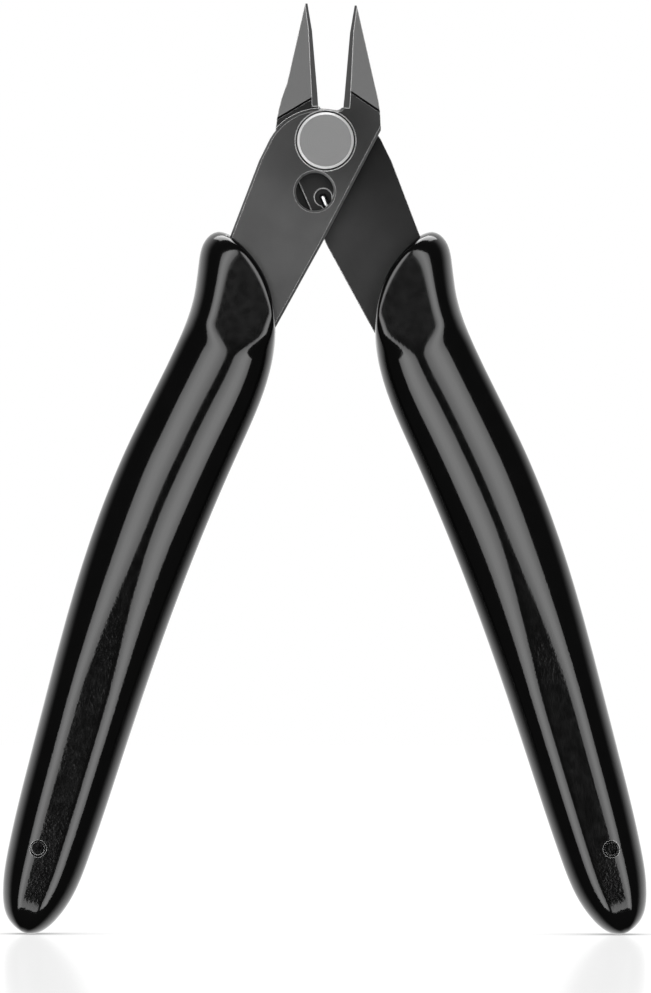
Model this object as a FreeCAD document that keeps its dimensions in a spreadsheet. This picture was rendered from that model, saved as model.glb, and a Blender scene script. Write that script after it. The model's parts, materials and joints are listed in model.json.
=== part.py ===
import FreeCAD, Part
import math
import os

import Sketcher

# Flush cutter, 5 inch class: two stacked lever plates on one rivet, a hidden wire spring
# round the rivet and two moulded grips.  Millimetres.  The document frame has its origin
# under the pivot, level with the ends of the grips; +Z points to the jaws, +X to the right
# and +Y to the back.  The levers slide on each other in the plane Y = 0.  The tool is drawn
# fully open.
#
# Every piece is drawn in a "lever frame" whose origin is the pivot: the closed position of
# the lever that carries the right jaw, with its plate in front of the sliding plane, at
# negative Y.  The other lever is the same drawing turned half a turn about Z.  Names that
# end in _front and _back hold the few places where the two levers differ.

DIMENSIONS = {
    # levers
    "plate_thickness": 3.0,
    "half_opening": 9.8,
    "pivot_height": 103.95,
    "cut_offset": 0.72,
    "plate_chamfer": 0.3,
    # pivot
    "shank_radius": 2.2,
    "shank_clearance": 0.02,
    "seat_radius": 3.98,
    "seat_depth": 0.4,
    "front_head_radius": 3.7,
    "front_head_proud": 0.9,
    "rear_head_radius": 3.4,
    "rear_head_proud": 0.6,
    "head_chamfer": 0.3,
    "head_clearance": 0.02,
    # window and spring
    "window_radius": 2.5,
    "window_chamfer": 0.25,
    "ledge_radius": 3.3,
    "ledge_thickness": 1.5,
    "wire_radius": 0.5,
    "coil_radius": 2.9,
    "coil_start_angle": -15.0,
    "coil_depth": 0.62,
    "spring_seat_radius": 3.7,
    "spring_seat_depth": 1.25,
    "leg_radius": 3.1,
    "leg_end_angle": 222.0,
    "hook_radius": 0.65,
    "wire_bend_radius": 0.6,
    "wire_tail": 1.3,
    "tail_hole_radius": 0.62,
    "tail_hole_depth": 1.6,
    "end_pocket_radius": 1.17,
    "channel_clearance": 0.1,
    # jaws
    "shoulder_slope_front": 24.0,
    "shoulder_slope_back": 21.0,
    "shoulder_step": 0.2,
    "shoulder_run": 0.3,
    "bevel_start_front": 7.3,
    "bevel_start_back": 5.85,
    "bevel_end": 17.5,
    "grinding_overrun": 3.0,
    "bevel_tip_thickness": 0.95,
    "flush_start": 6.0,
    "flush_tip_thickness": 1.1,
    "edge_bevel_width": 0.8,
    "edge_strip_above": 6.0,
    "edge_strip_below": 10.0,
    "throat_radius": 0.95,
    "root_clearance": 0.1,
    "head_radius": 7.83,
    "jaw_back_radius": 20.0,
    # grips
    "grip_thickness": 10.6,
    "grip_fillet": 1.0,
    "mouth_radius": 17.0,
    "grip_clearance": 0.03,
    "locator_radius": 0.87,
}

# Corners of the outlines in the lever frame, each as X and Z from the pivot.
POINTS = {
    "jaw_tip_inner": (-0.25, 18.3),
    "jaw_tip_outer": (0.3, 18.2),
    "jaw_belly": (4.45, 8.2),
    "jaw_root": (6.54, 2.6),
    "jaw_edge_mid": (-0.17, 14.6),
    "throat": (0.91, 4.05),
    "head_low": (-7.2, -1.0),
    "plate_flank": (-8.12, -4.1),
    "head_center": (0.137, -3.73),
    "plate_mouth_outer": (-10.1, -14.2),
    "plate_bend_front": (1.75, -13.6),
    "plate_bend_back": (2.1, -13.6),
    "plate_mouth_inner_front": (-2.2, -25.0),
    "plate_mouth_inner_back": (-1.45, -24.0),
    "tang_inner_top": (-5.4, -35.0),
    "tang_inner_mid": (-11.7, -62.0),
    "tang_inner_end": (-17.3, -97.0),
    "tang_outer_end": (-22.0, -97.0),
    "tang_outer_mid": (-19.6, -62.0),
    "tang_outer_top": (-12.8, -33.0),
    "tang_outer_neck": (-11.1, -22.0),
    "window": (-0.24, -6.81),
    "end_pocket": (1.54, -7.19),
    "mouth_outer": (-10.8, -14.25),
    "horn_top": (-12.1, -14.2),
    "horn_side": (-13.25, -15.4),
    "thumb": (-13.65, -18.3),
    "neck": (-13.5, -22.9),
    "flank_top": (-14.75, -30.0),
    "flank_upper": (-18.8, -44.0),
    "flank_middle": (-22.05, -61.0),
    "flank_lower": (-24.1, -83.2),
    "flank_end": (-25.1, -98.5),
    "end_outer": (-24.8, -104.3),
    "end_heel": (-23.3, -107.75),
    "end_bottom": (-20.4, -109.0),
    "end_inner": (-16.75, -105.6),
    "palm_end": (-14.6, -98.5),
    "palm_lower": (-12.0, -81.5),
    "palm_middle": (-8.85, -62.5),
    "palm_upper": (-4.25, -42.0),
    "palm_top": (-2.0, -31.0),
    "mouth_inner": (-2.05, -26.4),
    "locator": (-21.2, -97.7),
}

# The channel follows the outside of the spring's hook with corners at these angles, far enough
# out for its straight sides to clear the round hook.
HOOK_CORNERS = (262, 305, 340)
HOOK_SPARE = 0.03

# The tang's outline inside a grip, starting at its inner side.
TANG_CORNERS = (
    "tang_inner_top", "tang_inner_mid", "tang_inner_end", "tang_outer_end", "tang_outer_mid",
    "tang_outer_top", "tang_outer_neck", "plate_mouth_outer",
)

# The grip's outline runs as one smooth curve through these, from its mouth and round again.
GRIP_CURVE = (
    "mouth_inner", "palm_top", "palm_upper", "palm_middle", "palm_lower", "palm_end",
    "end_inner", "end_bottom", "end_heel", "end_outer", "flank_end", "flank_lower", "flank_middle",
    "flank_upper", "flank_top", "neck", "thumb", "horn_side", "horn_top", "mouth_outer",
)

SHEET_NAMES = set(DIMENSIONS) | {name + axis for name in POINTS for axis in ("_x", "_z")}

doc = FreeCAD.newDocument("flush_cutter")
sheet = doc.addObject("Spreadsheet::Sheet", "dims")


def fill_sheet():
    """Put every driving dimension in the sheet, one named cell each."""
    values = dict(DIMENSIONS)
    for name, (x, z) in POINTS.items():
        values[name + "_x"] = x
        values[name + "_z"] = z
    for row, (name, value) in enumerate(values.items(), start=1):
        sheet.set("A%d" % row, name)
        sheet.set("B%d" % row, str(value))
        sheet.setAlias("B%d" % row, name)
    doc.recompute()


def size(name):
    """A value read back from the sheet."""
    return float(sheet.get(name))


def bind(feature, prop, expression):
    """Drive one property from the sheet."""
    feature.setExpression(prop, expression)


class Corner:
    """A point of an outline with the formulas that place it.

    shift moves it sideways by that many times the offset of the cutting line.
    """

    def __init__(self, name, shift=0.0):
        self.x = size(name + "_x") + shift * size("cut_offset")
        self.z = size(name + "_z")
        self.x_formula = "dims.%s_x + %g * dims.cut_offset" % (name, shift)
        self.z_formula = "dims.%s_z" % name


def own(name, ending):
    """The lever's own version of a name where the two levers differ."""
    return name + ending if name + ending + "_x" in SHEET_NAMES else name


def place_point(sketch, geometry, end, corner):
    """Tie one end of an edge to the sheet's coordinates."""
    across = Sketcher.Constraint("DistanceX", -1, 1, geometry, end, corner.x)
    index = sketch.addConstraint(across)
    sketch.setExpression("Constraints[%d]" % index, corner.x_formula)
    upward = Sketcher.Constraint("DistanceY", -1, 1, geometry, end, corner.z)
    index = sketch.addConstraint(upward)
    sketch.setExpression("Constraints[%d]" % index, corner.z_formula)


def arc_between(start, end, radius):
    """The shorter arc between two points; a positive radius bulges left of the travel."""
    middle = (start + end) * 0.5
    half = (end - start) * 0.5
    reach = math.sqrt(max(radius * radius - half.Length ** 2, 0.0))
    left = FreeCAD.Vector(-half.y, half.x, 0).normalize()
    side = -1.0 if radius > 0 else 1.0
    center = middle + left * (reach * side)
    angles = [math.atan2(p.y - center.y, p.x - center.x) for p in (start, end)]
    circle = Part.Circle(center, FreeCAD.Vector(0, 0, 1), abs(radius))
    if radius > 0:
        return Part.ArcOfCircle(circle, angles[1], angles[0]), 2, 1
    return Part.ArcOfCircle(circle, angles[0], angles[1]), 1, 2


def new_sketch(body, name, plane="XZ_Plane"):
    """A sketch on one of the body's own origin planes."""
    sketch = body.newObject("Sketcher::SketchObject", name)
    for feature in body.Origin.OriginFeatures:
        if feature.Role == plane:
            sketch.AttachmentSupport = [(feature, "")]
    sketch.MapMode = "FlatFace"
    return sketch


def outline_sketch(body, name, steps):
    """A closed outline.  steps holds a corner and the radius name of the edge after it.

    A radius name of None is a straight edge; a leading minus sign bends it to the right.
    """
    sketch = new_sketch(body, name)
    ends = []
    for index, (corner, radius_name) in enumerate(steps):
        following = steps[(index + 1) % len(steps)][0]
        start = FreeCAD.Vector(corner.x, corner.z, 0)
        end = FreeCAD.Vector(following.x, following.z, 0)
        if radius_name is None:
            geometry = sketch.addGeometry(Part.LineSegment(start, end), False)
            first, last = 1, 2
        else:
            sign = -1.0 if radius_name.startswith("-") else 1.0
            plain = radius_name.lstrip("-")
            arc, first, last = arc_between(start, end, sign * size(plain))
            geometry = sketch.addGeometry(arc, False)
        ends.append((geometry, first, last))
    for index, (geometry, first, last) in enumerate(ends):
        after, after_first, _ = ends[(index + 1) % len(ends)]
        sketch.addConstraint(Sketcher.Constraint("Coincident", geometry, last, after, after_first))
        place_point(sketch, geometry, first, steps[index][0])
        radius_name = steps[index][1]
        if radius_name is not None:
            plain = radius_name.lstrip("-")
            radius = Sketcher.Constraint("Radius", geometry, size(plain))
            place = sketch.addConstraint(radius)
            sketch.setExpression("Constraints[%d]" % place, "dims.%s" % plain)
    return sketch


def circle_sketch(body, name, x, z, radius_formula, radius):
    """A circle of a sheet-driven radius about a given point."""
    sketch = new_sketch(body, name)
    circle = Part.Circle(FreeCAD.Vector(x, z, 0), FreeCAD.Vector(0, 0, 1), radius)
    geometry = sketch.addGeometry(circle, False)
    place = sketch.addConstraint(Sketcher.Constraint("Radius", geometry, radius))
    sketch.setExpression("Constraints[%d]" % place, radius_formula)
    sketch.addConstraint(Sketcher.Constraint("DistanceX", -1, 1, geometry, 3, x))
    sketch.addConstraint(Sketcher.Constraint("DistanceY", -1, 1, geometry, 3, z))
    return sketch


def polygon_sketch(body, name, corners, plane="XZ_Plane"):
    """A closed straight-edged outline from plain pairs."""
    sketch = new_sketch(body, name, plane)
    points = [FreeCAD.Vector(a, b, 0) for a, b in corners]
    count = len(points)
    for index in range(count):
        sketch.addGeometry(Part.LineSegment(points[index], points[(index + 1) % count]), False)
    for index in range(count):
        joined = Sketcher.Constraint("Coincident", index, 2, (index + 1) % count, 1)
        sketch.addConstraint(joined)
    return sketch


def pad(body, name, sketch, length_formula, to_back):
    """Thicken an outline from the sliding plane towards the back or the front."""
    feature = body.newObject("PartDesign::Pad", name)
    feature.Profile = sketch
    feature.Reversed = to_back
    bind(feature, "Length", length_formula)
    doc.recompute()
    return feature


def pocket(body, name, sketch, length_formula, inwards, lift=None):
    """Cut an outline to a depth; lift moves its starting plane along Y.

    Inwards is against the sketch's normal: to the back on the XZ plane, down on the XY plane.
    """
    if lift is not None:
        sketch.AttachmentOffset = FreeCAD.Placement(FreeCAD.Vector(0, 0, -lift), FreeCAD.Rotation())
    before = body.Shape.Volume
    feature = body.newObject("PartDesign::Pocket", name)
    feature.Profile = sketch
    feature.Reversed = not inwards
    if length_formula is None:
        feature.Type = "ThroughAll"
        feature.Midplane = True
    else:
        bind(feature, "Length", length_formula)
    doc.recompute()
    if not body.Shape.Volume < before - 1e-6:
        raise RuntimeError("%s cut nothing" % name)
    return feature


def named_edges(shape):
    """Every edge of a shape with its name."""
    return [("Edge%d" % index, edge) for index, edge in enumerate(shape.Edges, start=1)]


def at_throat(edge, shift):
    """True for the edge across the plate where the head meets the jaw."""
    throat = Corner("throat", shift)
    return all(math.hypot(v.X - throat.x, v.Z - throat.z) < 0.01 for v in edge.Vertexes)


def middle_of(edge):
    """The point halfway along an edge."""
    return edge.valueAt((edge.FirstParameter + edge.LastParameter) / 2.0)


def flat_edges(shape, height, keep):
    """Names of the edges that lie in the plane Y = height and pass a test."""
    names = []
    for name, edge in named_edges(shape):
        box = edge.BoundBox
        if box.YLength < 1e-5 and abs(box.YMin - height) < 1e-4 and keep(edge):
            names.append(name)
    return names


def dress(body, kind, name, base, edges, prop, formula):
    """A fillet or chamfer on named edges of the body's last feature."""
    feature = body.newObject("PartDesign::" + kind, name)
    feature.Base = (base, edges)
    bind(feature, prop, formula)
    body.Tip = feature
    doc.recompute()
    return feature


def lever_steps(shift, ending):
    """The whole lever plate, clockwise from the tip of its jaw."""
    return [
        (Corner("jaw_tip_inner", shift), None),
        (Corner("jaw_tip_outer", shift), None),
        (Corner("jaw_belly", shift), "jaw_back_radius"),
        (Corner("jaw_root", 0.5 * shift), None),
        (Corner(own("plate_bend", ending)), None),
        (Corner(own("plate_mouth_inner", ending)), None),
        (Corner("tang_inner_top"), None),
        (Corner("tang_inner_mid"), None),
        (Corner("tang_inner_end"), None),
        (Corner("tang_outer_end"), None),
        (Corner("tang_outer_mid"), None),
        (Corner("tang_outer_top"), None),
        (Corner("tang_outer_neck"), None),
        (Corner("plate_mouth_outer"), None),
        (Corner("plate_flank"), None),
        (Corner("head_low"), "head_radius"),
        (Corner("throat", shift), None),
        (Corner("jaw_edge_mid", shift), None),
    ]


def opened_head_center():
    """Center of the other lever's head when the tool is fully open, in the lever frame."""
    turn = math.radians(2.0 * size("half_opening"))
    x = -size("head_center_x")
    z = size("head_center_z")
    return (
        x * math.cos(turn) - z * math.sin(turn),
        x * math.sin(turn) + z * math.cos(turn),
    )


def root_point(start, end):
    """Where a side of the jaw meets its hollow root, a hair above the opened head."""
    center_x, center_z = opened_head_center()
    center = FreeCAD.Vector(center_x, center_z, 0)
    radius = size("head_radius") + size("root_clearance")
    along = (end - start).normalize()
    nearest = start + along * along.dot(center - start)
    reach = math.sqrt(radius ** 2 - (nearest - center).Length ** 2)
    return nearest + along * reach


def flat(corner):
    """A corner as a point of a sketch."""
    return FreeCAD.Vector(corner.x, corner.z, 0)


def jaw_half_sketch(body, shift):
    """The half of the jaw beyond the sliding plane, with its hollow root."""
    sketch = new_sketch(body, "jaw_half_outline")
    names = ("jaw_edge_mid", "jaw_tip_inner", "jaw_tip_outer")
    inside = [flat(Corner(name, shift)) for name in names]
    belly, root = flat(Corner("jaw_belly", shift)), flat(Corner("jaw_root", 0.5 * shift))
    root_inner = root_point(flat(Corner("throat", shift)), inside[0])
    root_outer = root_point(root, belly)
    back_of_jaw, _, _ = arc_between(belly, root, size("jaw_back_radius"))
    root_outer = back_of_jaw.value(back_of_jaw.parameter(root_outer))
    points = [root_inner] + inside + [belly]
    for start, end in zip(points, points[1:]):
        sketch.addGeometry(Part.LineSegment(start, end), False)
    rest, _, _ = arc_between(belly, root_outer, size("jaw_back_radius"))
    sketch.addGeometry(rest, False)
    radius = size("head_radius") + size("root_clearance")
    hollow, _, _ = arc_between(root_outer, root_inner, -radius)
    sketch.addGeometry(hollow, False)
    return sketch


def ground_off(side, start, tip_thickness):
    """Outline, in Y and Z, of what grinding takes off one side: a short step, then a slope."""
    full, end = size("plate_thickness"), size("bevel_end")
    past = end + size("grinding_overrun")
    outside = full + size("grinding_overrun")
    foot = full - size("shoulder_step")
    last = foot - (foot - tip_thickness) * (past - start) / (end - start)
    below = start - size("shoulder_run")
    corners = [(full, below), (foot, start), (last, past), (outside, past), (outside, below)]
    return [(side * y, z) for y, z in corners]


def grind_face(body, name, corners, slope):
    """Grind one broad face of the jaw, starting along a line that slopes down outwards."""
    sketch = polygon_sketch(body, name + "_outline", corners, "YZ_Plane")
    turn = FreeCAD.Rotation(FreeCAD.Vector(1, 0, 0), slope)
    sketch.AttachmentOffset = FreeCAD.Placement(FreeCAD.Vector(), turn)
    pocket(body, name + "_face", sketch, None, True)


def grind_edge(body, name, lower, upper, start, bevel_side, length_formula):
    """Lean the jaw's inner face back from the cutting edge, from one of two corners onwards."""
    full, width = bevel_side * size("plate_thickness"), size("edge_bevel_width")
    spare = size("grinding_overrun")
    corners = [(0, -full), (width, full), (-spare, full), (-spare, -full)]
    sketch = polygon_sketch(body, name + "_outline", corners, "XY_Plane")
    lean = math.degrees(math.atan2(lower.x - upper.x, upper.z - lower.z))
    turn = FreeCAD.Rotation(FreeCAD.Vector(0, 1, 0), -lean)
    place = FreeCAD.Vector(start.x, 0, start.z)
    sketch.AttachmentOffset = FreeCAD.Placement(place, turn)
    pocket(body, name, sketch, length_formula, start is upper)


def grind_jaw(body, shift, bevel_side, ending):
    """The ground faces of the jaw: sloping bevel, flush side and the cutting edge."""
    slope = size("shoulder_slope" + ending)
    bevel = ground_off(bevel_side, size("bevel_start" + ending), size("bevel_tip_thickness"))
    grind_face(body, "bevel", bevel, slope)
    flush = ground_off(-bevel_side, size("flush_start"), size("flush_tip_thickness"))
    grind_face(body, "flush", flush, slope)
    low, middle = Corner("throat", shift), Corner("jaw_edge_mid", shift)
    tip = Corner("jaw_tip_inner", shift)
    grind_edge(body, "edge_tip", middle, tip, middle, bevel_side, "dims.edge_strip_above")
    grind_edge(body, "edge_throat", low, middle, middle, bevel_side, "dims.edge_strip_below")


def build_lever(label, shift, bevel_side, ending, extra):
    """One forged lever: plate with tang, jaw, pivot seat and edge chamfer."""
    body = doc.addObject("PartDesign::Body", label)
    body.Label = label
    plate = outline_sketch(body, "plate_outline", lever_steps(shift, ending))
    pad(body, "plate", plate, "dims.plate_thickness", False)
    corner = [name for name, edge in named_edges(body.Shape) if at_throat(edge, shift)]
    dress(body, "Fillet", "throat_fillet", body.Tip, corner, "Radius", "dims.throat_radius")
    pad(body, "jaw_half", jaw_half_sketch(body, shift), "dims.plate_thickness", True)
    front = -size("plate_thickness")

    jaw_start = size("throat_z") + size("throat_radius")

    def below_jaw(edge):
        return middle_of(edge).z < jaw_start

    rim = flat_edges(body.Shape, front, below_jaw)
    dress(body, "Chamfer", "plate_edge", body.Tip, rim, "Size", "dims.plate_chamfer")
    grind_jaw(body, shift, bevel_side, ending)
    bore = circle_sketch(body, "bore", 0, 0, "dims.shank_radius + dims.shank_clearance",
                         size("shank_radius") + size("shank_clearance"))
    pocket(body, "pivot_bore", bore, None, True)
    seat = circle_sketch(body, "seat", 0, 0, "dims.seat_radius", size("seat_radius"))
    pocket(body, "head_seat", seat, "dims.seat_depth", True, front)
    extra(body)
    return body


def front_details(body):
    """The round window and the blind hole of the spring's tail."""
    x, z = size("window_x"), size("window_z")
    window = circle_sketch(body, "window_outline", x, z, "dims.window_radius",
                           size("window_radius"))
    pocket(body, "window", window, None, True)

    def window_rim(edge):
        middle = middle_of(edge)
        return math.hypot(middle.x - x, middle.z - z) < size("window_radius") + 0.01

    rim = flat_edges(body.Shape, -size("plate_thickness"), window_rim)
    dress(body, "Chamfer", "window_edge", body.Tip, rim, "Size", "dims.window_chamfer")
    tail_x, tail_z = tail_in_front_lever()
    hole = circle_sketch(body, "tail_outline", tail_x, tail_z, "dims.tail_hole_radius",
                         size("tail_hole_radius"))
    pocket(body, "tail_hole", hole, "dims.tail_hole_depth", False)


def window_in_back_lever():
    """Center of the front lever's window, fully open, in the back lever's own frame."""
    turn = math.radians(2.0 * size("half_opening"))
    x, z = size("window_x"), size("window_z")
    return -(x * math.cos(turn) + z * math.sin(turn)), -x * math.sin(turn) + z * math.cos(turn)


def spring_plan():
    """Named points of the spring's flat path, in the back lever's frame."""
    window = FreeCAD.Vector(*window_in_back_lever(), 0)
    coil, leg = size("coil_radius"), size("leg_radius")
    along = FreeCAD.Vector(window).normalize()
    lean = (coil - leg) / window.Length
    outward = FreeCAD.Vector(along.y, -along.x, 0) * math.sqrt(1 - lean ** 2) + along * lean
    leg_end = math.radians(size("leg_end_angle"))
    third = window + FreeCAD.Vector(math.cos(leg_end), math.sin(leg_end), 0) * leg
    heading = FreeCAD.Vector(-math.sin(leg_end), math.cos(leg_end), 0)
    hook = size("hook_radius")
    hook_center = third + FreeCAD.Vector(-heading.y, heading.x, 0) * hook
    pocket_center = FreeCAD.Vector(size("end_pocket_x"), size("end_pocket_z"), 0)
    to_pocket = pocket_center - hook_center
    angle = math.atan2(to_pocket.y, to_pocket.x) - math.acos(hook / to_pocket.Length)
    fourth = hook_center + FreeCAD.Vector(math.cos(angle), math.sin(angle), 0) * hook
    return {
        "window": window,
        "outward": outward,
        "coil_exit": outward * coil,
        "leg_start": window + outward * leg,
        "leg_end": third,
        "hook_center": hook_center,
        "hook_end": fourth,
        "tip": pocket_center,
    }


def tail_point():
    """Axis of the spring's bent tail in the back lever's frame, and the wire's heading."""
    start = math.radians(size("coil_start_angle"))
    on_coil = FreeCAD.Vector(math.cos(start), math.sin(start), 0) * size("coil_radius")
    heading = FreeCAD.Vector(-math.sin(start), math.cos(start), 0)
    return on_coil - heading * size("wire_bend_radius"), on_coil, heading


def tail_in_front_lever():
    """The same axis in the front lever's frame, with the tool fully open."""
    tail, _, _ = tail_point()
    turn = math.radians(2.0 * size("half_opening"))
    x, z = -tail.x, tail.y
    return x * math.cos(turn) - z * math.sin(turn), x * math.sin(turn) + z * math.cos(turn)


def back_details(body):
    """Seat and channel of the spring, its end pocket, and the ledge behind the window."""
    plan = spring_plan()
    window = plan["window"]
    ledge = circle_sketch(body, "ledge_outline", window.x, window.y, "dims.ledge_radius",
                          size("ledge_radius"))
    lift = size("plate_thickness") - size("ledge_thickness")
    ledge.AttachmentOffset = FreeCAD.Placement(FreeCAD.Vector(0, 0, lift), FreeCAD.Rotation())
    pad(body, "ledge", ledge, "dims.ledge_thickness", False)
    seat = circle_sketch(body, "coil_outline", 0, 0, "dims.spring_seat_radius",
                         size("spring_seat_radius"))
    pocket(body, "coil_seat", seat, "dims.spring_seat_depth", False)
    half = size("wire_radius") + size("channel_clearance")
    out = plan["outward"]
    sides = [(plan[n] + out * half, plan[n] - out * half) for n in ("coil_exit", "leg_start")]
    center, end = plan["hook_center"], plan["leg_end"]
    spoke = (end - window).normalize()
    wide = size("hook_radius") + half + HOOK_SPARE
    lower = [center + FreeCAD.Vector(math.cos(math.radians(a)), math.sin(math.radians(a)), 0)
             * wide for a in HOOK_CORNERS]
    tip = plan["tip"]
    loop = [sides[0][0], sides[1][0], end + spoke * half, lower[0], lower[1], lower[2],
            FreeCAD.Vector(tip.x + half, tip.y, 0), FreeCAD.Vector(tip.x - half, tip.y, 0),
            end - spoke * half, sides[1][1], sides[0][1]]
    channel = polygon_sketch(body, "channel_outline", [(p.x, p.y) for p in loop])
    pocket(body, "leg_channel", channel, "dims.spring_seat_depth", False)
    pit = circle_sketch(body, "pit_outline", tip.x, tip.y, "dims.end_pocket_radius",
                        size("end_pocket_radius"))
    pocket(body, "end_pocket", pit, "dims.spring_seat_depth", False)


def build_rivet():
    """One turned rivet: shank, flat front head and smaller closed head behind."""
    body = doc.addObject("PartDesign::Body", "pivot_rivet")
    body.Label = "pivot_rivet"
    shank = size("shank_radius")
    seat = size("plate_thickness") - size("seat_depth") + size("head_clearance")
    face = size("plate_thickness") + size("front_head_proud")
    rear = size("plate_thickness") + size("rear_head_proud")
    front_radius, rear_radius = size("front_head_radius"), size("rear_head_radius")
    bevel = size("head_chamfer")
    profile = [
        (0, -face), (front_radius - bevel, -face), (front_radius, -face + bevel),
        (front_radius, -seat), (shank, -seat), (shank, seat), (rear_radius, seat),
        (rear_radius, rear - bevel), (rear_radius - bevel, rear), (0, rear),
    ]
    sketch = polygon_sketch(body, "rivet_profile", profile, "XY_Plane")
    feature = body.newObject("PartDesign::Revolution", "rivet_turning")
    feature.Profile = sketch
    feature.ReferenceAxis = (sketch, ["V_Axis"])
    feature.Angle = 360
    doc.recompute()
    return body


def build_spring():
    """The wire spring: tail, open coil round the rivet, leg and hooked end."""
    plan = spring_plan()
    depth = -size("coil_depth")
    tail, on_coil, heading = tail_point()

    def lay(point, height=depth):
        return FreeCAD.Vector(point.x, height, point.y)

    bend = size("wire_bend_radius")
    up = depth + bend
    quarter = 1.0 - math.sqrt(0.5)
    bend_middle = lay(tail + heading * bend * quarter, depth + bend * quarter)
    start = math.radians(size("coil_start_angle"))
    exit_angle = math.atan2(plan["coil_exit"].y, plan["coil_exit"].x) % (2 * math.pi)
    half_way = (start + exit_angle) / 2.0
    coil_middle = FreeCAD.Vector(math.cos(half_way), math.sin(half_way), 0) * size("coil_radius")
    window, leg = plan["window"], size("leg_radius")
    middle_angle = (exit_angle + math.radians(size("leg_end_angle"))) / 2.0
    leg_middle = window + FreeCAD.Vector(math.cos(middle_angle), math.sin(middle_angle), 0) * leg
    hook_center, hook = plan["hook_center"], size("hook_radius")
    first = plan["leg_end"] - hook_center
    last = plan["hook_end"] - hook_center
    hook_start = math.atan2(first.y, first.x) % (2 * math.pi)
    hook_stop = math.atan2(last.y, last.x) % (2 * math.pi)
    hook_half = (hook_start + hook_stop) / 2.0
    hook_middle = hook_center + FreeCAD.Vector(math.cos(hook_half), math.sin(hook_half), 0) * hook
    path = [
        Part.LineSegment(lay(tail, size("wire_tail")), lay(tail, up)),
        Part.Arc(lay(tail, up), bend_middle, lay(on_coil)),
        Part.Arc(lay(on_coil), lay(coil_middle), lay(plan["coil_exit"])),
        Part.LineSegment(lay(plan["coil_exit"]), lay(plan["leg_start"])),
        Part.Arc(lay(plan["leg_start"]), lay(leg_middle), lay(plan["leg_end"])),
        Part.Arc(lay(plan["leg_end"]), lay(hook_middle), lay(plan["hook_end"])),
        Part.LineSegment(lay(plan["hook_end"]), lay(plan["tip"])),
    ]
    spine = Part.Wire([piece.toShape() for piece in path])
    wire = size("wire_radius")
    circle = Part.makeCircle(wire, lay(tail, size("wire_tail")), FreeCAD.Vector(0, 1, 0))
    solid = spine.makePipeShell([Part.Wire([circle])], True, True)
    solid = solid.fuse(Part.makeSphere(wire, lay(plan["tip"])))
    feature = doc.addObject("Part::Feature", "return_spring")
    feature.Label = "return_spring"
    feature.Shape = solid.removeSplitter()
    return feature


def build_grip(label, ending):
    """One moulded sleeve: rounded outline, hollow for the tang, two locator holes."""
    body = doc.addObject("PartDesign::Body", label)
    body.Label = label
    sketch = new_sketch(body, "grip_outline")
    points = [flat(Corner(name)) for name in GRIP_CURVE]
    curve = Part.BSplineCurve()
    curve.interpolate(points)
    sketch.addGeometry(curve, False)
    mouth_arc, _, _ = arc_between(points[-1], points[0], size("mouth_radius"))
    arc = sketch.addGeometry(mouth_arc, False)
    place = sketch.addConstraint(Sketcher.Constraint("Radius", arc, size("mouth_radius")))
    sketch.setExpression("Constraints[%d]" % place, "dims.mouth_radius")
    sleeve = body.newObject("PartDesign::Pad", "sleeve")
    sleeve.Profile = sketch
    sleeve.Midplane = True
    bind(sleeve, "Length", "dims.grip_thickness")
    doc.recompute()
    half = size("grip_thickness") / 2.0

    def long_way_round(edge):
        return edge.Length > 2.0 * size("mouth_radius")

    edges = [name for height in (half, -half)
             for name in flat_edges(body.Shape, height, long_way_round)]
    dress(body, "Fillet", "rounded_sides", body.Tip, edges, "Radius", "dims.grip_fillet")
    gap = size("grip_clearance")
    names = ("head_low", "plate_bend", "plate_mouth_inner") + TANG_CORNERS
    loop = [flat(Corner(own(name, ending))) for name in names]
    face = Part.Face(Part.makePolygon(loop + [loop[0]]))
    wider = face.makeOffset2D(gap, 2)
    ring = [vertex.Point for vertex in wider.OuterWire.OrderedVertexes]
    hollow = polygon_sketch(body, "tang_outline", [(p.x, p.y) for p in ring])
    pocket(body, "tang_hollow", hollow, "dims.plate_thickness + 2 * dims.grip_clearance",
           False, gap)
    locator = circle_sketch(body, "locator_outline", size("locator_x"), size("locator_z"),
                            "dims.locator_radius", size("locator_radius"))
    pocket(body, "locator_hole", locator, None, True)
    return body


def turned(half_turn, opening):
    """Placement of a piece: a half turn about Z or none, its share of the opening, the lift."""
    flip = FreeCAD.Rotation(FreeCAD.Vector(0, 0, 1), 180.0 if half_turn else 0.0)
    swing = FreeCAD.Rotation(FreeCAD.Vector(0, 1, 0), opening)
    lift = FreeCAD.Vector(0, 0, size("pivot_height"))
    return FreeCAD.Placement(lift, swing.multiply(flip))


def export(nodes):
    """Check the whole document, then write one file per piece."""
    doc.recompute()
    for item in doc.Objects:
        if "Invalid" in item.State or "Error" in item.State:
            raise RuntimeError("%s failed: %s" % (item.Name, item.State))
    for node in nodes:
        shape = node.Shape
        if shape.isNull() or not shape.isValid():
            raise RuntimeError("%s has no valid shape" % node.Label)
    os.makedirs("parts", exist_ok=True)
    for node in nodes:
        node.Shape.exportStep("parts/%s.step" % node.Label)
        box = node.Shape.BoundBox
        print("%s volume %.1f solids %d box X %.2f %.2f Y %.2f %.2f Z %.2f %.2f" % (
            node.Label, node.Shape.Volume, len(node.Shape.Solids), box.XMin, box.XMax,
            box.YMin, box.YMax, box.ZMin, box.ZMax))


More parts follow.
